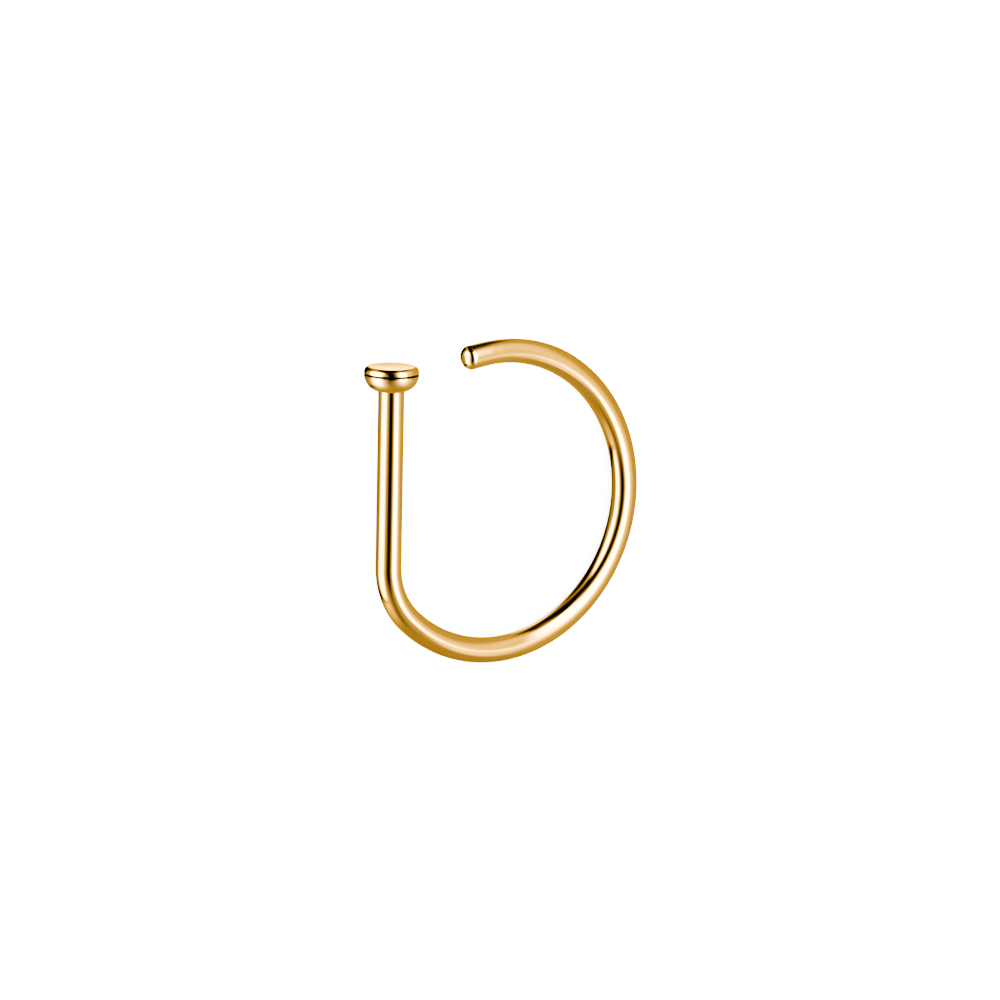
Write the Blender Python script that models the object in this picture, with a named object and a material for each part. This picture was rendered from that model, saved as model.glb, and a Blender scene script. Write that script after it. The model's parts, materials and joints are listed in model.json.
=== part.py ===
"""Nose ring: one round wire bent to a D, with a flat disc head at one end and a rounded tip at the other.

Metres, +Z up. The wire is drawn first in its own flat plane: the post runs down from the head,
turns through the corner into the hoop, and the hoop comes round the far side to the tip.
The ring is then laid on its side, tilted the way it comes to rest on its head's edge and its hoop,
with the middle of its footprint at the origin and its lowest point at Z = 0.
"""

import math
from collections import namedtuple

import bmesh
import bpy
import numpy as np
from mathutils import Vector

# The wire and the D that it is bent to
WIRE_DIAMETER = 0.00081
INNER_WIDTH = 0.0080
POST_LENGTH = 0.00554
CORNER_RADIUS = 0.00246
CORNER_TURN = math.radians(47.0)
MOUTH_GAP = 0.00219

# The head: how far it stands out past the wire, its rounded upper edge and its bowl below
HEAD_OVERHANG = 0.000455
HEAD_EDGE_WIDTH = 0.000116
HEAD_EDGE_DEPTH = 0.00028
HEAD_BOWL_DEPTH = 0.00048

# The tip: its straight end past the hoop's bend, the length over which the wire thins, and its rounding
TIP_STRAIGHT = 0.0008
TIP_TAPER = 0.0036
TIP_ROUNDING = 0.00028

# How finely the solid is drawn
WIRE_SIDES = 24
HEAD_EDGE_STEPS = 4
HEAD_BOWL_STEPS = 7
TIP_ROUNDING_STEPS = 6
BEND_STEP = math.radians(4.0)

# How the ring finds its rest: the steepest lean tried, and the steps of each search
STEEPEST_LEAN = 0.3
LEAN_SEARCH_STEPS = 36

GOLD_COLOUR = (0.83, 0.56, 0.20, 1.0)
GOLD_ROUGHNESS = 0.12

# along is a share of TIP_TAPER, and thickness a share of WIRE_DIAMETER
TipSection = namedtuple("TipSection", "along thickness")
TIP_SECTIONS = (
    TipSection(0.00, 1.000),
    TipSection(0.15, 0.990),
    TipSection(0.38, 0.960),
    TipSection(0.60, 0.930),
    TipSection(0.77, 0.920),
    TipSection(0.88, 0.930),
    TipSection(1.00, 0.945),
)

# One round section of the wire: the centre, the way the wire runs there, and the radius
Section = namedtuple("Section", "centre heading radius")


def wire_radius():
    return WIRE_DIAMETER / 2


def hoop_radius():
    """The hoop's radius on its centreline, so that the D is as wide inside as it should be."""
    width = INNER_WIDTH + WIRE_DIAMETER
    level = math.cos(CORNER_TURN)
    return (width - CORNER_RADIUS * (1 - level)) / (1 + level)


def straight_length():
    return HEAD_EDGE_DEPTH + HEAD_BOWL_DEPTH + POST_LENGTH


def corner_length():
    return CORNER_RADIUS * CORNER_TURN


def hoop_length():
    """Along the hoop's centreline to where its bend ends, so that the mouth is as wide as it should be."""
    radius = hoop_radius()
    centre_x = INNER_WIDTH + WIRE_DIAMETER - radius
    tip_x = wire_radius() + MOUTH_GAP
    tip_angle = math.acos((tip_x - centre_x) / math.hypot(radius, TIP_STRAIGHT))
    bend_end = tip_angle - math.atan2(TIP_STRAIGHT, radius)
    return radius * (math.pi - CORNER_TURN + bend_end)


def wire_length():
    return straight_length() + corner_length() + hoop_length() + TIP_STRAIGHT


def ahead(heading):
    """The unit vector of a heading in the ring's plane."""
    return Vector((math.cos(heading), math.sin(heading), 0))


def along_arc(start, heading, radius, length):
    """The point and heading after a length of a left-hand arc in the ring's plane."""
    centre = start + radius * ahead(heading + math.pi / 2)
    heading += length / radius
    return centre + radius * ahead(heading - math.pi / 2), heading


def along_wire(distance):
    """The point and heading at a distance from the head's face, with the post running down at X = 0."""
    heading = -math.pi / 2
    if distance <= straight_length():
        return Vector((0, -distance, 0)), heading
    corner_start = Vector((0, -straight_length(), 0))
    distance -= straight_length()
    if distance <= corner_length():
        return along_arc(corner_start, heading, CORNER_RADIUS, distance)
    hoop_start, heading = along_arc(corner_start, heading, CORNER_RADIUS, corner_length())
    distance -= corner_length()
    if distance <= hoop_length():
        return along_arc(hoop_start, heading, hoop_radius(), distance)
    bend_end, heading = along_arc(hoop_start, heading, hoop_radius(), hoop_length())
    return bend_end + (distance - hoop_length()) * ahead(heading), heading


def quarter_steps(steps):
    """The sine and cosine of each even step of a quarter turn, both ends with it."""
    angles = [math.pi / 2 * i / steps for i in range(steps + 1)]
    return [(math.sin(a), math.cos(a)) for a in angles]


def head_profile():
    """Distance and radius of each head section, from the rim of the flat face to the post."""
    head_radius = wire_radius() + HEAD_OVERHANG
    face_radius = head_radius - HEAD_EDGE_WIDTH
    profile = []
    for rise, fall in quarter_steps(HEAD_EDGE_STEPS):
        profile.append((HEAD_EDGE_DEPTH * (1 - fall), face_radius + HEAD_EDGE_WIDTH * rise))
    for rise, fall in quarter_steps(HEAD_BOWL_STEPS)[1:]:
        profile.append((HEAD_EDGE_DEPTH + HEAD_BOWL_DEPTH * rise, wire_radius() + HEAD_OVERHANG * fall))
    return profile


def stretch(start, end, bend_radius, start_radius, end_radius):
    """Distance and radius of each section of a bent stretch, from its start up to just before its end."""
    steps = math.ceil((end - start) / (bend_radius * BEND_STEP))
    shares = [i / steps for i in range(steps)]
    return [(start + (end - start) * s, start_radius + (end_radius - start_radius) * s) for s in shares]


def bend_profile():
    """The plain sections, from the post's lower end to where the tip starts to thin."""
    corner_start = straight_length()
    corner_end = corner_start + corner_length()
    taper_start = wire_length() - TIP_ROUNDING - TIP_TAPER
    corner = stretch(corner_start, corner_end, CORNER_RADIUS, wire_radius(), wire_radius())
    hoop = stretch(corner_end, taper_start, hoop_radius(), wire_radius(), wire_radius())
    return corner + hoop


def tip_profile():
    """The sections of the thinning tip and of its rounded end."""
    taper_start = wire_length() - TIP_ROUNDING - TIP_TAPER
    profile = []
    for near, far in zip(TIP_SECTIONS, TIP_SECTIONS[1:]):
        start = taper_start + TIP_TAPER * near.along
        end = taper_start + TIP_TAPER * far.along
        radii = (wire_radius() * near.thickness, wire_radius() * far.thickness)
        profile += stretch(start, end, hoop_radius(), *radii)
    last = wire_radius() * TIP_SECTIONS[-1].thickness
    for rise, fall in quarter_steps(TIP_ROUNDING_STEPS)[:-1]:
        profile.append((wire_length() - TIP_ROUNDING * (1 - rise), last * fall))
    return profile


def ring_sections():
    """Every round section of the ring, in order from the head's face to the tip."""
    sections = []
    for distance, radius in head_profile() + bend_profile() + tip_profile():
        centre, heading = along_wire(distance)
        sections.append(Section(centre, ahead(heading), radius))
    return sections


def section_loop(bm, section):
    """The corners round one section, the first of them straight out of the ring's plane."""
    side = Vector((0, 0, 1))
    out = section.heading.cross(side)
    corners = []
    for i in range(WIRE_SIDES):
        angle = 2 * math.pi * i / WIRE_SIDES
        spoke = math.cos(angle) * side + math.sin(angle) * out
        corners.append(bm.verts.new(section.centre + section.radius * spoke))
    return corners


def loft(sections, end_point):
    """One closed body through the sections, flat at the head's face and closed to a point at the tip."""
    bm = bmesh.new()
    loops = [section_loop(bm, section) for section in sections]
    bm.faces.new(loops[0])
    for upper, lower in zip(loops, loops[1:]):
        for i in range(WIRE_SIDES):
            j = (i + 1) % WIRE_SIDES
            bm.faces.new((upper[i], upper[j], lower[j], lower[i]))
    end = bm.verts.new(end_point)
    for i in range(WIRE_SIDES):
        bm.faces.new((loops[-1][i], loops[-1][(i + 1) % WIRE_SIDES], end))
    bmesh.ops.recalc_face_normals(bm, faces=bm.faces)
    mesh = bpy.data.meshes.new("nose_ring")
    bm.to_mesh(mesh)
    bm.free()
    return mesh


def centre_of_mass(centres, radii):
    """The middle of the wire's volume, one length between two sections at a time."""
    lengths = np.linalg.norm(np.diff(centres, axis=0), axis=1)
    volumes = lengths * (radii[:-1] ** 2 + radii[:-1] * radii[1:] + radii[1:] ** 2)
    middles = (centres[:-1] + centres[1:]) / 2
    return (middles * volumes[:, None]).sum(axis=0) / volumes.sum()


def lowest(height, low, high):
    """Where a height with one dip is lowest between two limits, and that height."""
    for _ in range(LEAN_SEARCH_STEPS):
        third = (high - low) / 3
        if height(low + third) < height(high - third):
            high -= third
        else:
            low += third
    middle = (low + high) / 2
    return middle, height(middle)


def resting_down(sections):
    """Which way is down, in the ring's own frame, when it lies on its side with its weight lowest."""
    centres = np.array([section.centre for section in sections])
    headings = np.array([section.heading for section in sections])
    radii = np.array([section.radius for section in sections])
    weight = centre_of_mass(centres, radii)

    def height(lean_x, lean_y):
        down = np.array((lean_x, lean_y, -1.0))
        down /= np.linalg.norm(down)
        reach = centres @ down + radii * np.sqrt(1 - (headings @ down) ** 2)
        return reach.max() - weight @ down

    def best_height(lean_x):
        return lowest(lambda lean_y: height(lean_x, lean_y), -STEEPEST_LEAN, STEEPEST_LEAN)[1]

    lean_x = lowest(best_height, -STEEPEST_LEAN, STEEPEST_LEAN)[0]
    lean_y = lowest(lambda lean: height(lean_x, lean), -STEEPEST_LEAN, STEEPEST_LEAN)[0]
    return Vector((lean_x, lean_y, -1)).normalized()


def gold():
    """Polished steel with a gold coating."""
    material = bpy.data.materials.new("gold")
    material.use_nodes = True
    shader = material.node_tree.nodes["Principled BSDF"]
    shader.inputs["Base Color"].default_value = GOLD_COLOUR
    shader.inputs["Metallic"].default_value = 1.0
    shader.inputs["Roughness"].default_value = GOLD_ROUGHNESS
    return material


def lay_on_its_side(ring, down):
    """Turns the ring so that down points down, and puts the middle of its footprint at the origin."""
    turn = down.rotation_difference(Vector((0, 0, -1)))
    points = np.array([turn @ vertex.co for vertex in ring.data.vertices])
    low = points.min(axis=0)
    high = points.max(axis=0)
    ring.rotation_mode = "QUATERNION"
    ring.rotation_quaternion = turn
    ring.location = (-(low[0] + high[0]) / 2, -(low[1] + high[1]) / 2, -low[2])


def main():
    for old in list(bpy.data.objects):
        bpy.data.objects.remove(old)
    sections = ring_sections()
    end_point, _ = along_wire(wire_length())
    ring = bpy.data.objects.new("nose_ring", loft(sections, end_point))
    bpy.context.scene.collection.objects.link(ring)
    ring.data.shade_smooth()
    ring.data.set_sharp_from_angle(angle=math.radians(40))
    ring.data.materials.append(gold())
    lay_on_its_side(ring, resting_down(sections))


main()
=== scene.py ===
"""Nose ring: a polished gold wire bent to a D, with a disc head, built over its solid model with its stage.

Metres, +Z up. The ring's own frame is the one that the wire is bent in: its origin is the middle of the
head's face, +Y points out of that face along the post, +X across to the far side of the hoop, and +Z out
of the ring's upper side. The solid model says where that frame lies.
"""

import json
import math
from collections import namedtuple

import bmesh
import bpy
import numpy as np
from bpy.props import FloatProperty, FloatVectorProperty, IntProperty, PointerProperty
from mathutils import Matrix, Vector


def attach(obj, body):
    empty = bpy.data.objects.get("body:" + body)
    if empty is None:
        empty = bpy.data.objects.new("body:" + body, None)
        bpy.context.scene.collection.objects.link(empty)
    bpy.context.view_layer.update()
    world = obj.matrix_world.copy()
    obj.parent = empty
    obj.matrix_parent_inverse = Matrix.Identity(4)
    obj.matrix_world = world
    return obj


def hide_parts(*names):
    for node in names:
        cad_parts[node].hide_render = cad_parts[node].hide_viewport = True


bl_info = {
    "name": "Gold nose ring",
    "version": (1, 0, 0),
    "blender": (4, 5, 0),
    "location": "3D View > Sidebar > Nose ring",
    "description": "A polished gold nose ring over its solid model, with a light tent, a floor and a camera",
    "category": "Object",
}

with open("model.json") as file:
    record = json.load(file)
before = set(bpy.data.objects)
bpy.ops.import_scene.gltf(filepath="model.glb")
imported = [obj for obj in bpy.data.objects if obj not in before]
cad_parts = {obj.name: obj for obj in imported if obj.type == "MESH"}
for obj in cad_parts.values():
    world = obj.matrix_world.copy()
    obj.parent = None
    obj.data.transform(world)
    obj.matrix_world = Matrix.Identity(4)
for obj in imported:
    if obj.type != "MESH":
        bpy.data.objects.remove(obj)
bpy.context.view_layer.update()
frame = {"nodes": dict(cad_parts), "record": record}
RING_NODE = "nose_ring"
HEAD_MOUNT = "head_face"

# Decimals of a metre to which two of the solid's points count as one
POINT_DECIMALS = 8

# The tip's thinning: along is a share of the taper, and thickness a share of the wire's diameter
TIP_ALONG = (0.00, 0.15, 0.38, 0.60, 0.77, 0.88, 1.00)
TIP_THICKNESS = (1.000, 0.990, 0.960, 0.930, 0.920, 0.930, 0.945)

# How far the head's side leans toward the face, in degrees, at depths below the face down to the post. The
# side is a rounded rim, a domed edge, a fine turned groove and a bowl.
HEAD_LEAN = (
    (0.000000, 70),
    (0.000010, 60),
    (0.000030, 50),
    (0.000050, 42),
    (0.000080, 26),
    (0.000130, 15),
    (0.000180, 8),
    (0.000190, 4),
    (0.000194, -36),
    (0.000214, -36),
    (0.000225, 0),
    (0.000236, 34),
    (0.000256, 34),
    (0.000260, -6),
    (0.000320, -12),
    (0.000460, -23),
    (0.000600, -42),
    (0.000715, -62),
    (0.000760, -78),
)
GROOVE_TOP = 0.000190
GROOVE_BOTTOM = 0.000260

# How deep the face is dished, and how far the head is drawn in so that it stays within the solid's outline
FACE_DISH = 0.000012
HEAD_INSET = 0.000003

# How finely the face, the head's side, the post and the tip's end are drawn
FACE_STEPS = 16
HEAD_STEP = 0.000005
POST_STEP = 0.0002
TIP_END_STEPS = 16

# The joint between the head and the post is drawn over this length, so that it shades as a crisp corner
JOINT_LENGTH = 0.00001

# The mesh attribute that holds each point's place on the wire as if it were straight:
# the distance from the head's face, and the point's place across the wire
STRAIGHT_WIRE = "straight_wire"

# The gold's noise: how much longer than wide its patches are, how many finer layers it has, and between which
# of its values the look changes. The haze's patches are finer than the tone's.
TONE_STRETCH = 3
TONE_DETAIL = 3
TONE_RANGE = (0.38, 0.64)
HAZE_FINENESS = 2
HAZE_STRETCH = 4
HAZE_DETAIL = 4
HAZE_RANGE = (0.35, 0.7)
LINE_DETAIL = 2

# Where the rubbed gold sets in, as a share of the face's radius, and how strong it gets
WEAR_START = 0.97
WEAR_STRENGTH = 0.6

# The edge of the shade painted dark into the head's groove, as shares of the groove's half width
PAINTED_SHADE_EDGE = (0.8, 1.1)

# Where the satin sets in round the post, as shares of the wire's radius
SATIN_EDGE = (1.02, 1.2)

# How deep the turned rings are beside the polishing lines
TURNED_SHARE = 0.25


def length(name, description, default):
    """A length in metres that a user can change."""
    return FloatProperty(
        name=name,
        description=description,
        default=default,
        min=0,
        subtype="DISTANCE",
        unit="LENGTH",
        precision=5,
    )


def angle(name, description, degrees):
    """An angle that a user can change, with its default in degrees."""
    return FloatProperty(name=name, description=description, default=math.radians(degrees), subtype="ANGLE")


def share(name, description, default):
    """A share from 0 to 1 that a user can change."""
    return FloatProperty(name=name, description=description, default=default, min=0, max=1, subtype="FACTOR")


def colour(name, description, default):
    """A colour that a user can change."""
    return FloatVectorProperty(
        name=name, description=description, default=default, size=3, min=0, max=1, subtype="COLOR"
    )


class RingSizes(bpy.types.PropertyGroup):
    """The sizes that the wire, the head and the tip are made to."""

    wire_diameter: length("Wire", "Thickness of the wire", 0.00081)
    inner_width: length("Inner width", "Clear width from the post to the far side of the hoop", 0.0080)
    post_length: length("Post", "Length of the straight post below the head", 0.00554)
    corner_radius: length("Corner radius", "Radius of the bend from the post into the hoop", 0.00246)
    corner_turn: angle("Corner turn", "How far the corner turns", 47)
    mouth_gap: length("Mouth", "Clear way from the post to the tip", 0.00219)
    head_overhang: length("Head overhang", "How far the head stands out past the wire", 0.000455)
    tip_straight: length("Tip straight", "Straight end of the wire past the hoop's bend", 0.0008)
    tip_taper: length("Tip taper", "Length over which the wire thins", 0.0036)
    tip_rounding: length("Tip rounding", "Length of the rounded end", 0.00028)
    sides: IntProperty(name="Sides", description="Faces round the wire", default=96, min=12)
    bend_step: angle("Bend step", "Bend between two sections", 1)


class RingShape:
    """The ring worked out from its sizes: where the wire runs and how thick it is."""

    def __init__(self, sizes):
        self.s = sizes
        self.wire_radius = sizes.wire_diameter / 2
        self.head_depth = HEAD_LEAN[-1][0]
        self.straight = self.head_depth + sizes.post_length
        self.corner = sizes.corner_radius * sizes.corner_turn
        width = sizes.inner_width + sizes.wire_diameter
        level = math.cos(sizes.corner_turn)
        self.hoop_radius = (width - sizes.corner_radius * (1 - level)) / (1 + level)
        centre_x = width - self.hoop_radius
        tip_x = self.wire_radius + sizes.mouth_gap
        tip_angle = math.acos((tip_x - centre_x) / math.hypot(self.hoop_radius, sizes.tip_straight))
        bend_end = tip_angle - math.atan2(sizes.tip_straight, self.hoop_radius)
        self.hoop = self.hoop_radius * (math.pi - sizes.corner_turn + bend_end)
        self.total = self.straight + self.corner + self.hoop + sizes.tip_straight

    def along(self, distance):
        """The point and heading at a distance from the head's face, in the ring's own frame."""
        point = Vector((0, -min(distance, self.straight), 0))
        heading = -math.pi / 2
        bends = ((self.corner, self.s.corner_radius), (self.hoop, self.hoop_radius))
        left = distance - self.straight
        for bend, radius in bends:
            if left <= 0:
                return point, heading
            run = min(left, bend)
            centre = point + radius * way(heading + math.pi / 2)
            heading += run / radius
            point = centre + radius * way(heading - math.pi / 2)
            left -= bend
        return point + max(left, 0) * way(heading), heading


def way(heading):
    """The unit vector of a heading in the ring's plane."""
    return Vector((math.cos(heading), math.sin(heading), 0))


def even(start, end, step):
    """Even places from start up to just before end, no further apart than step."""
    steps = max(1, math.ceil((end - start) / step))
    return [start + (end - start) * i / steps for i in range(steps)]


def quarter_turn(steps):
    """The sine and cosine of each even step of a quarter turn, both ends with it."""
    angles = [math.pi / 2 * i / steps for i in range(steps + 1)]
    return [(math.sin(a), math.cos(a)) for a in angles]


def head_profile(shape):
    """Distance from the face and radius of each section of the head, from the face's middle to the post."""
    depths, leans = zip(*HEAD_LEAN)
    places = np.arange(0, shape.head_depth + HEAD_STEP / 2, HEAD_STEP)
    slopes = np.tan(np.radians(np.interp(places + HEAD_STEP / 2, depths, leans)))
    radii = np.concatenate([[0], np.cumsum(slopes[:-1] * HEAD_STEP)])
    radii += shape.wire_radius + shape.s.head_overhang - HEAD_INSET - radii.max()
    inner = [i / FACE_STEPS for i in range(1, FACE_STEPS)]
    rows = [(FACE_DISH * (1 - out * out), float(radii[0]) * out) for out in inner]
    rows += [(float(place), float(radius)) for place, radius in zip(places, radii)]
    rows.append((shape.head_depth, shape.wire_radius))
    rows.append((shape.head_depth + JOINT_LENGTH, shape.wire_radius))
    return rows


def wire_profile(shape):
    """The plain sections of the post, the corner and the hoop, up to where the tip starts to thin."""
    corner_start = shape.straight
    hoop_start = corner_start + shape.corner
    taper_start = shape.total - shape.s.tip_rounding - shape.s.tip_taper
    places = even(shape.head_depth, corner_start, POST_STEP)[1:]
    places += even(corner_start, hoop_start, shape.s.corner_radius * shape.s.bend_step)
    places += even(hoop_start, taper_start, shape.hoop_radius * shape.s.bend_step)
    return [(place, shape.wire_radius) for place in places]


def tip_profile(shape):
    """The sections of the thinning tip and of its rounded end."""
    s = shape.s
    taper_end = shape.total - s.tip_rounding
    taper_start = taper_end - s.tip_taper
    rows = []
    for place in even(taper_start, taper_end, shape.hoop_radius * s.bend_step):
        thickness = np.interp((place - taper_start) / s.tip_taper, TIP_ALONG, TIP_THICKNESS)
        rows.append((place, shape.wire_radius * float(thickness)))
    last = shape.wire_radius * TIP_THICKNESS[-1]
    for rise, fall in quarter_turn(TIP_END_STEPS)[:-1]:
        rows.append((taper_end + s.tip_rounding * rise, last * fall))
    return rows


def ring_mesh(shape):
    """The whole ring as one closed skin of round sections, in its own frame."""
    bm = bmesh.new()
    sides = shape.s.sides
    spokes = [2 * math.pi * i / sides for i in range(sides)]
    loops = []
    straight = []
    for distance, radius in head_profile(shape) + wire_profile(shape) + tip_profile(shape):
        centre, heading = shape.along(distance)
        up = Vector((0, 0, 1))
        out = way(heading).cross(up)
        loops.append([bm.verts.new(centre + radius * (math.cos(a) * up + math.sin(a) * out)) for a in spokes])
        straight += [(distance, radius * math.cos(a), radius * math.sin(a)) for a in spokes]
    face_middle = bm.verts.new(shape.along(FACE_DISH)[0])
    tip_end = bm.verts.new(shape.along(shape.total)[0])
    straight += [(FACE_DISH, 0, 0), (shape.total, 0, 0)]
    for i in range(sides):
        j = (i + 1) % sides
        bm.faces.new((face_middle, loops[0][j], loops[0][i]))
        for upper, lower in zip(loops, loops[1:]):
            bm.faces.new((upper[i], upper[j], lower[j], lower[i]))
        bm.faces.new((loops[-1][i], loops[-1][j], tip_end))
    bmesh.ops.recalc_face_normals(bm, faces=bm.faces)
    mesh = bpy.data.meshes.new("gold_ring")
    bm.to_mesh(mesh)
    bm.free()
    mesh.shade_smooth()
    places = mesh.attributes.new(STRAIGHT_WIRE, "FLOAT_VECTOR", "POINT")
    places.data.foreach_set("vector", np.ravel(straight))
    return mesh


def ring_placement():
    """Where the ring's own frame lies. The solid's points are the same on both sides of the ring's plane."""
    points = np.array([v.co for v in frame["nodes"][RING_NODE].data.vertices])
    points = np.unique(points.round(POINT_DECIMALS), axis=0)

    # The points spread least out of the ring's plane
    up = Vector(np.linalg.svd(points - points.mean(axis=0))[2][2])
    if up.z < 0:
        up.negate()
    mount = next(m for m in frame["record"]["mounts"] if m["name"] == HEAD_MOUNT)
    across = Vector(mount["axis"]).cross(up).normalized()
    along = up.cross(across)
    return Matrix.Translation(mount["pos_m"]) @ Matrix((across, along, up)).transposed().to_4x4()


class GoldFinish(bpy.types.PropertyGroup):
    """The coating's colour and polish."""

    gold: colour("Gold", "Colour of the coating", (0.86, 0.52, 0.16))
    deep_gold: colour("Deep gold", "Colour where the coating is a little thicker", (0.84, 0.49, 0.135))
    worn_gold: colour("Worn gold", "Colour where the head's edge is rubbed brighter", (0.88, 0.56, 0.20))
    wear_width: length("Wear width", "How far in over the face the head's edge is rubbed brighter", 0.000116)
    edge_gold: colour("Edge gold", "Tint of what it reflects at a glancing angle", (0.93, 0.70, 0.29))
    # A dark colour painted into the head's groove as shade, in place of the dark line that the groove shows
    painted_groove_shade: colour("Residue", "Colour of the polishing residue in the head's groove", (0.03, 0.016, 0.006))
    polish: share("Polish", "Roughness where the polish is best", 0.045)
    haze: share("Haze", "Roughness where the polish is softest", 0.10)
    satin: share("Satin", "Roughness added on the head's underside", 0.22)
    satin_fade: length("Satin fade", "How far below the groove the satin sets in", 0.00006)
    line_width: length("Polishing line width", "From one fine polishing line to the next", 0.00004)
    line_length: length("Polishing line length", "How long the fine polishing lines run", 0.0015)
    line_depth: length("Polishing line depth", "How deep the fine polishing lines are", 0.0000002)
    tone_patch: length("Tone patch", "Size of the soft changes of tone", 0.0009)
    ring_pitch: length("Turning ring pitch", "From one turned ring on the head to the next", 0.00005)


class StageSizes(bpy.types.PropertyGroup):
    """The camera's place, and how bright the floor is."""

    camera_turn: angle("Camera turn", "How far the camera stands to the post's side", 33.3)
    camera_rise: angle("Camera rise", "How far the camera looks onto the head's face", 11.6)
    camera_roll: angle("Camera roll", "How far the camera is rolled", 1.21)
    camera_distance: length("Camera distance", "From the camera to the point that it looks at", 0.15223)
    camera_lens: FloatProperty(name="Lens", description="Focal length in millimetres", default=178.0, min=1)
    floor_glow: FloatProperty(name="Floor", description="How bright the open floor is", default=4.6, min=0)
    contact_glow: FloatProperty(
        name="Contact shadow", description="How bright the floor is under the wire", default=1.6, min=0
    )
    contact_reach: length("Shadow reach", "How far the contact shadow spreads", 0.0007)


def material(name):
    """A new material with its nodes and links."""
    made = bpy.data.materials.new(name)
    made.use_nodes = True
    return made, made.node_tree.nodes, made.node_tree.links


def noise(nodes, links, place, scale, detail):
    """Noise over the straightened wire. The scale is three wave counts for each metre."""
    stretch = nodes.new("ShaderNodeMapping")
    stretch.inputs["Scale"].default_value = scale
    links.new(place, stretch.inputs["Vector"])
    made = nodes.new("ShaderNodeTexNoise")
    made.inputs["Scale"].default_value = 1
    made.inputs["Detail"].default_value = detail
    links.new(stretch.outputs["Vector"], made.inputs["Vector"])
    return made.outputs["Fac"]


def ramp(nodes, links, value, low, high, start, end):
    """A value from low to high, eased to run from start to end."""
    made = nodes.new("ShaderNodeMapRange")
    made.interpolation_type = "SMOOTHSTEP"
    for socket, number in (("From Min", low), ("From Max", high), ("To Min", start), ("To Max", end)):
        made.inputs[socket].default_value = number
    links.new(value, made.inputs["Value"])
    return made.outputs["Result"]


def blend_colours(nodes, links, amount, first, second):
    """The first colour where the amount is 0 and the second where it is 1. Each is a colour or a socket."""
    made = nodes.new("ShaderNodeMix")
    made.data_type = "RGBA"
    links.new(amount, made.inputs["Factor"])
    for socket, value in ((made.inputs["A"], first), (made.inputs["B"], second)):
        if isinstance(value, bpy.types.NodeSocket):
            links.new(value, socket)
        else:
            socket.default_value = (*value, 1)
    return made.outputs["Result"]


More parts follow.
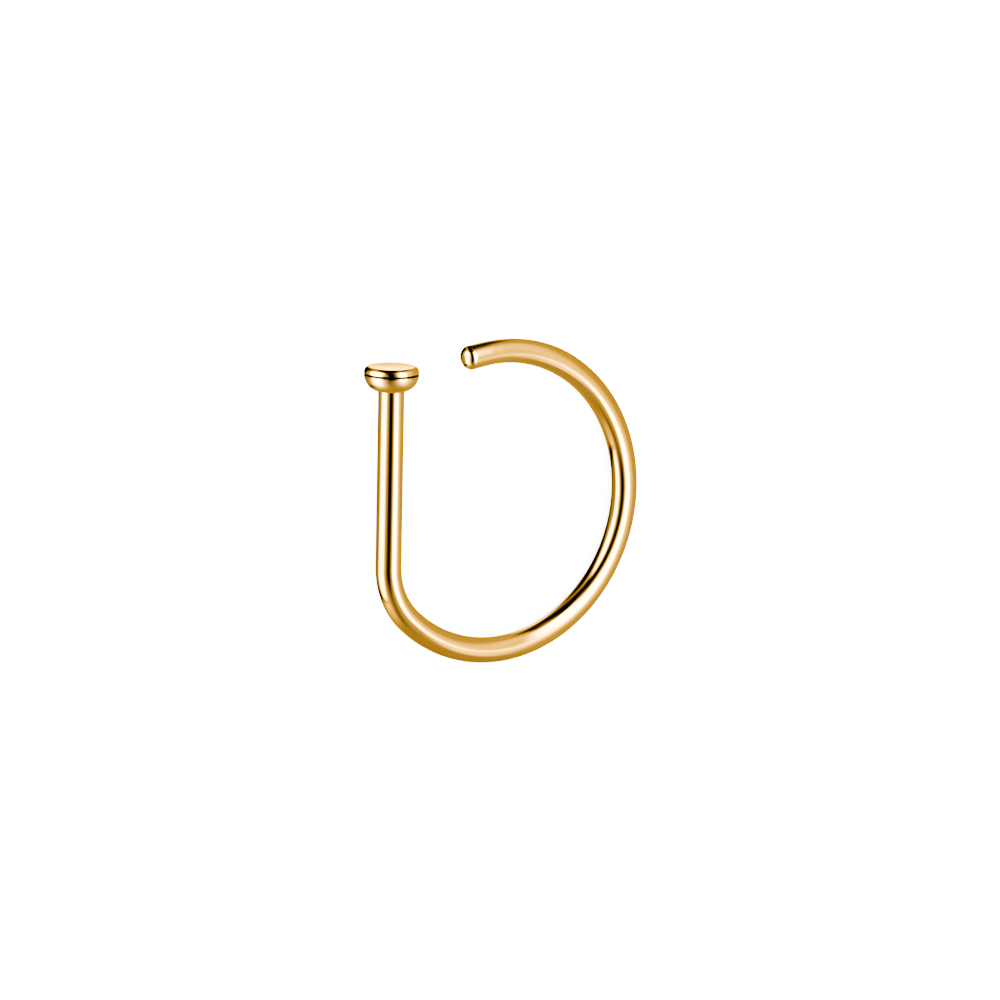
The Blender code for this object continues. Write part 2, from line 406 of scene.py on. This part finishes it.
def gold(finish, shape):
    """A gold coating on polished steel, with fine lines along the wire, a little wear on the head and shade
    painted dark into the head's groove.
    """
    made, nodes, links = material("gold")
    shader = nodes["Principled BSDF"]
    shader.inputs["Metallic"].default_value = 1
    shader.inputs["Specular Tint"].default_value = (*finish.edge_gold, 1)
    place = nodes.new("ShaderNodeAttribute")
    place.attribute_name = STRAIGHT_WIRE
    place = place.outputs["Vector"]

    # Radius of each point across the wire, which tells the head's edge from the wire
    flat = nodes.new("ShaderNodeVectorMath")
    flat.operation = "MULTIPLY"
    flat.inputs[1].default_value = (0, 1, 1)
    links.new(place, flat.inputs[0])
    radius = nodes.new("ShaderNodeVectorMath")
    radius.operation = "LENGTH"
    links.new(flat.outputs["Vector"], radius.inputs[0])
    radius = radius.outputs["Value"]
    head_radius = shape.wire_radius + shape.s.head_overhang
    face_radius = head_radius - finish.wear_width

    # Soft changes of tone, and the head's edge rubbed brighter
    patch = 1 / finish.tone_patch
    tone = noise(nodes, links, place, (patch / TONE_STRETCH, patch, patch), TONE_DETAIL)
    thick = ramp(nodes, links, tone, *TONE_RANGE, 0, 1)
    tinted = blend_colours(nodes, links, thick, tuple(finish.gold), tuple(finish.deep_gold))
    wear = ramp(nodes, links, radius, face_radius * WEAR_START, head_radius, 0, WEAR_STRENGTH)
    worn = blend_colours(nodes, links, wear, tinted, tuple(finish.worn_gold))

    # Shade painted dark into the turned groove, by the distance from the groove's middle
    split = nodes.new("ShaderNodeSeparateXYZ")
    links.new(place, split.inputs["Vector"])
    beside = nodes.new("ShaderNodeMath")
    beside.operation = "SUBTRACT"
    beside.inputs[1].default_value = (GROOVE_TOP + GROOVE_BOTTOM) / 2
    links.new(split.outputs["X"], beside.inputs[0])
    apart = nodes.new("ShaderNodeMath")
    apart.operation = "ABSOLUTE"
    links.new(beside.outputs["Value"], apart.inputs[0])
    half = (GROOVE_BOTTOM - GROOVE_TOP) / 2
    inner, outer = (half * edge for edge in PAINTED_SHADE_EDGE)
    painted_groove_shade = ramp(nodes, links, apart.outputs["Value"], inner, outer, 1, 0)
    links.new(blend_colours(nodes, links, painted_groove_shade, worn, tuple(finish.painted_groove_shade)), shader.inputs["Base Color"])

    # Fine polishing lines along the wire, and a polish that is softer in places
    across = 1 / finish.line_width
    lines = noise(nodes, links, place, (1 / finish.line_length, across, across), LINE_DETAIL)
    fine = patch * HAZE_FINENESS
    haze = noise(nodes, links, place, (fine / HAZE_STRETCH, fine, fine), HAZE_DETAIL)
    rough = ramp(nodes, links, haze, *HAZE_RANGE, finish.polish, finish.haze)

    # The head's underside is satin, from the groove down to the wire
    full = GROOVE_BOTTOM + finish.satin_fade
    below = ramp(nodes, links, split.outputs["X"], GROOVE_BOTTOM, full, 0, finish.satin)
    inner, outer = (shape.wire_radius * edge for edge in SATIN_EDGE)
    outside = ramp(nodes, links, radius, inner, outer, 0, 1)
    satin = nodes.new("ShaderNodeMath")
    satin.operation = "MULTIPLY_ADD"
    links.new(below, satin.inputs[0])
    links.new(outside, satin.inputs[1])
    links.new(rough, satin.inputs[2])
    links.new(satin.outputs["Value"], shader.inputs["Roughness"])

    # Turned rings on the head. Along the wire the radius hardly changes, so they don't show there.
    turned = nodes.new("ShaderNodeMath")
    turned.operation = "SINE"
    pitch = nodes.new("ShaderNodeMath")
    pitch.operation = "MULTIPLY"
    pitch.inputs[1].default_value = 2 * math.pi / finish.ring_pitch
    links.new(radius, pitch.inputs[0])
    links.new(pitch.outputs["Value"], turned.inputs[0])
    height = nodes.new("ShaderNodeMath")
    height.operation = "MULTIPLY_ADD"
    height.inputs[1].default_value = TURNED_SHARE
    links.new(turned.outputs["Value"], height.inputs[0])
    links.new(lines, height.inputs[2])
    bump = nodes.new("ShaderNodeBump")
    bump.inputs["Distance"].default_value = finish.line_depth
    links.new(height.outputs["Value"], bump.inputs["Height"])
    links.new(bump.outputs["Normal"], shader.inputs["Normal"])
    return made


def add(name, data):
    """A new object of this data, in the scene."""
    made = bpy.data.objects.new(name, data)
    bpy.context.scene.collection.objects.link(made)
    return made


# A soft stroke of light or dark on the light tent's inside: how bright it is, over how many degrees its edge
# fades, and the places that it runs through. A place has its azimuth to the camera's right and its elevation
# above level, as seen from the tent's middle with the ring stood upright, and how far the stroke reaches to
# each side, all in degrees. Later strokes lie over earlier ones.
Stroke = namedtuple("Stroke", "name glow fade places")
Place = namedtuple("Place", "azimuth elevation reach")
STROKES = (
    Stroke("low", 0.45, 24, (
        Place(0, -90, 32),
    )),
    Stroke("left_back", 0.42, 24, (
        Place(-120, -18, 24),
    )),
    Stroke("low_left", 1.1, 22, (
        Place(-95, -46, 7),
        Place(-50, -50, 9),
    )),
    Stroke("dark_top", 0.02, 20, (
        Place(175, 62, 8),
        Place(-160, 50, 10),
        Place(-150, 62, 16),
        Place(-100, 75, 17),
        Place(-40, 72, 15),
    )),
    Stroke("dark_blob", 0.01, 18, (
        Place(-143, 3, 14),
        Place(-132, 20, 18),
        Place(-118, 34, 10),
    )),
    Stroke("dark_edge", 0.04, 12, (
        Place(115, 78, 5),
        Place(158, 73, 5),
        Place(178, 56, 6),
    )),
    Stroke("pale_right", 1.3, 26, (
        Place(74, -18, 14),
        Place(74, 10, 12),
        Place(76, 35, 15),
        Place(84, 52, 15),
    )),
    Stroke("low_right", 1.7, 16, (
        Place(64, -12, 6),
        Place(61, -30, 8),
        Place(60, -46, 9),
    )),
    Stroke("arch_tail", 0.24, 26, (
        Place(-12, -25, 13),
        Place(-11, -54, 10),
    )),
    Stroke("dark_arch", 0.01, 18, (
        Place(-10, -20, 12),
        Place(-8, -8, 14),
        Place(-9, 17, 13),
        Place(-18, 42, 13),
        Place(-38, 55, 9),
        Place(-85, 65, 7),
    )),
    Stroke("left_box", 6.5, 24, (
        Place(-68, -25, 16),
        Place(-61, 0, 16),
        Place(-66, 21, 21),
    )),
    Stroke("dark_window", 0.02, 8, (
        Place(-62, 52, 5),
        Place(-40, 56, 5),
        Place(-20, 60, 5),
    )),
    Stroke("rim_left", 0.01, 4, (
        Place(-162, -11, 3),
        Place(-140, -22, 3),
        Place(-122, -31, 4),
        Place(-106, -36, 3),
    )),
    Stroke("rim_low", 0.4, 5, (
        Place(-98, -38, 3),
        Place(-84, -42, 2),
        Place(-68, -44, 1),
        Place(-52, -45, 1),
    )),
    Stroke("right_box", 6.5, 22, (
        Place(41, -16, 16),
        Place(38, 0, 15),
        Place(36, 25, 16),
        Place(39, 50, 13),
        Place(44, 62, 8),
    )),
    Stroke("right_core", 6.5, 14, (
        Place(47, -18, 13),
        Place(46, 0, 12),
        Place(44, 25, 12),
        Place(42, 48, 9),
    )),
    Stroke("rim_top", 0.04, 6, (
        Place(-5, 68, 6),
        Place(40, 73, 4),
        Place(66, 66, 3),
    )),
    Stroke("back", 1.1, 10, (
        Place(-168, 22, 9),
    )),
    Stroke("face_light", 4.2, 12, (
        Place(-168, 13, 6),
    )),
)

# The tent in the ring's own frame, the degrees between its points, how bright its bare cloth is, and the mesh
# attribute that holds its light
TENT_MIDDLE = Vector((0.0044, -0.0035, 0.0005))
TENT_RADIUS = 0.022
TENT_STEP = 1
TENT_GLOW = 0.6
TENT_LIGHT = "tent_light"

# The cloth's red, green and blue at each brightness: neutral in the dark, warm where lit, cool at a lamp
CLOTH_GLOW = (0.15, 0.30, 0.50, 0.90, 1.60, 4.00)
CLOTH_TINT = (
    (0.95, 0.98, 1.02, 1.03, 1.03, 0.98),
    (0.95, 0.96, 0.97, 0.97, 0.98, 1.06),
    (1.15, 1.05, 0.82, 0.58, 0.59, 1.26),
)

# How wide the floor is, and how many rays look for the wire above each point of it
FLOOR_SIDE = 4.0
FLOOR_SHADOW_SAMPLES = 3

# The point that the camera looks at in the ring's own frame, the camera's sensor in millimetres, and the
# nearest and furthest that it sees
CAMERA_AIM = Vector((0.002523, -0.003998, 0.002376))
SENSOR_WIDTH = 36
CAMERA_REACH = (0.01, 10)

# The smallest length that a stroke's run is divided by, for a stroke with one place
TINY = 1e-9


def tent_way(azimuth, elevation):
    """The unit vectors of azimuths and elevations in degrees, as right, up and toward the camera."""
    a = np.radians(azimuth)
    e = np.radians(elevation)
    return np.stack([np.cos(e) * np.sin(a), np.sin(e), np.cos(e) * np.cos(a)], axis=-1)


def eased(amount):
    """The amount held between 0 and 1, with soft ends."""
    amount = np.clip(amount, 0, 1)
    return amount * amount * (3 - 2 * amount)


def stroke_cover(stroke, ways):
    """How much of a stroke lies on each way out of the tent, from 0 to 1."""
    cover = np.zeros(len(ways))
    places = stroke.places if len(stroke.places) > 1 else stroke.places * 2
    for start, end in zip(places, places[1:]):
        start_way = tent_way(start.azimuth, start.elevation)
        run = tent_way(end.azimuth, end.elevation) - start_way
        along = np.clip((ways - start_way) @ run / max(run @ run, TINY), 0, 1)
        nearest = start_way + along[:, None] * run
        nearest /= np.linalg.norm(nearest, axis=1)[:, None]
        apart = np.degrees(np.arccos(np.clip((ways * nearest).sum(axis=1), -1, 1)))
        reach = start.reach + (end.reach - start.reach) * along
        cover = np.maximum(cover, eased((reach - apart) / stroke.fade + 0.5))
    return cover


def tent_light(ways):
    """The colour of the light that comes from each way out of the tent, later strokes over earlier ones."""
    glow = np.full(len(ways), TENT_GLOW)
    for stroke in STROKES:
        cover = stroke_cover(stroke, ways)
        glow = glow * (1 - cover) + stroke.glow * cover
    tint = [np.interp(np.log(glow), np.log(CLOTH_GLOW), one) for one in CLOTH_TINT]
    return np.column_stack([*(glow * one for one in tint), np.ones(len(ways))])


def put_up_tent(stage, placement):
    """A round light tent close about the ring, which only the ring's reflections see."""
    columns = 360 // TENT_STEP
    elevations = np.arange(-90 + TENT_STEP / 2, 90, TENT_STEP)
    azimuths = np.arange(columns) * TENT_STEP
    ways = tent_way(*np.meshgrid(azimuths, elevations)).reshape(-1, 3)
    turned = Matrix.Rotation(-stage.camera_turn, 3, "Y")
    bm = bmesh.new()
    corners = [bm.verts.new(placement @ (TENT_MIDDLE + TENT_RADIUS * (turned @ Vector(w)))) for w in ways]
    rows = [corners[i : i + columns] for i in range(0, len(corners), columns)]
    for low, high in zip(rows, rows[1:]):
        for i in range(columns):
            j = (i + 1) % columns
            bm.faces.new((low[i], low[j], high[j], high[i]))
    bm.faces.new(rows[0])
    bm.faces.new(rows[-1])
    mesh = bpy.data.meshes.new("light_tent")
    bm.to_mesh(mesh)
    bm.free()
    light = mesh.attributes.new(TENT_LIGHT, "FLOAT_COLOR", "POINT")
    light.data.foreach_set("color", tent_light(ways).ravel())
    made, nodes, links = material("light_tent")
    nodes.remove(nodes["Principled BSDF"])
    colour_here = nodes.new("ShaderNodeAttribute")
    colour_here.attribute_name = TENT_LIGHT
    glow = nodes.new("ShaderNodeEmission")
    links.new(colour_here.outputs["Color"], glow.inputs["Color"])
    links.new(glow.outputs["Emission"], nodes["Material Output"].inputs["Surface"])
    mesh.materials.append(made)
    tent = add("light_tent", mesh)
    tent.visible_camera = False
    tent.visible_diffuse = False
    tent.visible_shadow = False


def lay_floor(stage):
    """A plain white floor with a faint contact shadow, which the ring doesn't mirror."""
    bm = bmesh.new()
    bmesh.ops.create_grid(bm, x_segments=1, y_segments=1, size=FLOOR_SIDE / 2)
    mesh = bpy.data.meshes.new("floor")
    bm.to_mesh(mesh)
    bm.free()
    floor = add("floor", mesh)
    made, nodes, links = material("floor")
    nodes.remove(nodes["Principled BSDF"])
    open_sky = nodes.new("ShaderNodeAmbientOcclusion")
    open_sky.samples = FLOOR_SHADOW_SAMPLES
    open_sky.inputs["Distance"].default_value = stage.contact_reach
    glow = nodes.new("ShaderNodeEmission")
    strength = ramp(nodes, links, open_sky.outputs["AO"], 0, 1, stage.contact_glow, stage.floor_glow)
    links.new(strength, glow.inputs["Strength"])
    links.new(glow.outputs["Emission"], nodes["Material Output"].inputs["Surface"])
    floor.data.materials.append(made)
    floor.visible_glossy = False


def whiten_room(stage):
    """The room beyond the floor, as white as the floor. The tent hides it from the ring."""
    world = bpy.data.worlds.new("studio")
    bpy.context.scene.world = world
    world.use_nodes = True
    background = world.node_tree.nodes["Background"]
    background.inputs["Color"].default_value = (1, 1, 1, 1)
    background.inputs["Strength"].default_value = stage.floor_glow


def set_camera(stage, placement):
    """The camera at its angle to the ring, rolled a little, at the point that it looks at."""
    turn = stage.camera_turn
    rise = stage.camera_rise
    toward = Vector((-math.cos(rise) * math.sin(turn), math.sin(rise), math.cos(rise) * math.cos(turn)))
    level = Vector((0, 1, 0)).cross(toward).normalized()
    upright = toward.cross(level)
    right = math.cos(stage.camera_roll) * level + math.sin(stage.camera_roll) * upright
    axes = Matrix((right, toward.cross(right), toward)).transposed()
    place = CAMERA_AIM + stage.camera_distance * toward
    data = bpy.data.cameras.new("camera")
    data.lens = stage.camera_lens
    data.sensor_width = SENSOR_WIDTH
    data.clip_start, data.clip_end = CAMERA_REACH
    camera = add("camera", data)
    camera.matrix_world = placement @ Matrix.Translation(place) @ axes.to_4x4()
    bpy.context.scene.camera = camera


class NOSERING_OT_ring(bpy.types.Operator):
    """Builds the ring and puts it over its solid"""

    bl_idname = "nose_ring.ring"
    bl_label = "Ring"

    def execute(self, context):
        shape = RingShape(context.scene.ring_sizes)
        mesh = ring_mesh(shape)
        mesh.transform(ring_placement())
        mesh.materials.append(gold(context.scene.gold_finish, shape))
        ring = add("gold_ring", mesh)

        # The wire mirrors the tent alone, and not the ring's other parts
        ring.visible_glossy = False
        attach(ring, "root")
        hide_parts(RING_NODE)
        return {"FINISHED"}


class NOSERING_OT_stage(bpy.types.Operator):
    """Adds the light tent, the floor, the room and the camera"""

    bl_idname = "nose_ring.stage"
    bl_label = "Stage"

    def execute(self, context):
        stage = context.scene.stage_sizes
        placement = ring_placement()
        put_up_tent(stage, placement)
        lay_floor(stage)
        whiten_room(stage)
        set_camera(stage, placement)
        context.scene.view_settings.view_transform = "AgX"
        context.scene.view_settings.look = "AgX - Very High Contrast"
        return {"FINISHED"}


class NOSERING_PT_panel(bpy.types.Panel):
    """The nose ring's sizes, finish and pieces"""

    bl_idname = "NOSERING_PT_panel"
    bl_label = "Nose ring"
    bl_space_type = "VIEW_3D"
    bl_region_type = "UI"
    bl_category = "Nose ring"

    def draw(self, context):
        for group in GROUPS:
            settings = getattr(context.scene, group)
            box = self.layout.box()
            for name in settings.bl_rna.properties.keys():
                if name not in {"rna_type", "name"}:
                    box.prop(settings, name)
        for operator in OPERATORS:
            self.layout.operator(operator.bl_idname)


GROUPS = {"ring_sizes": RingSizes, "gold_finish": GoldFinish, "stage_sizes": StageSizes}
OPERATORS = (NOSERING_OT_ring, NOSERING_OT_stage)


def register():
    for made in (*GROUPS.values(), *OPERATORS, NOSERING_PT_panel):
        bpy.utils.register_class(made)
    for name, group in GROUPS.items():
        setattr(bpy.types.Scene, name, PointerProperty(type=group))


def unregister():
    for name in GROUPS:
        delattr(bpy.types.Scene, name)
    for made in (NOSERING_PT_panel, *OPERATORS, *GROUPS.values()):
        bpy.utils.unregister_class(made)


def main():
    register()
    bpy.ops.nose_ring.ring()
    bpy.ops.nose_ring.stage()


if __name__ == "__main__":
    main()
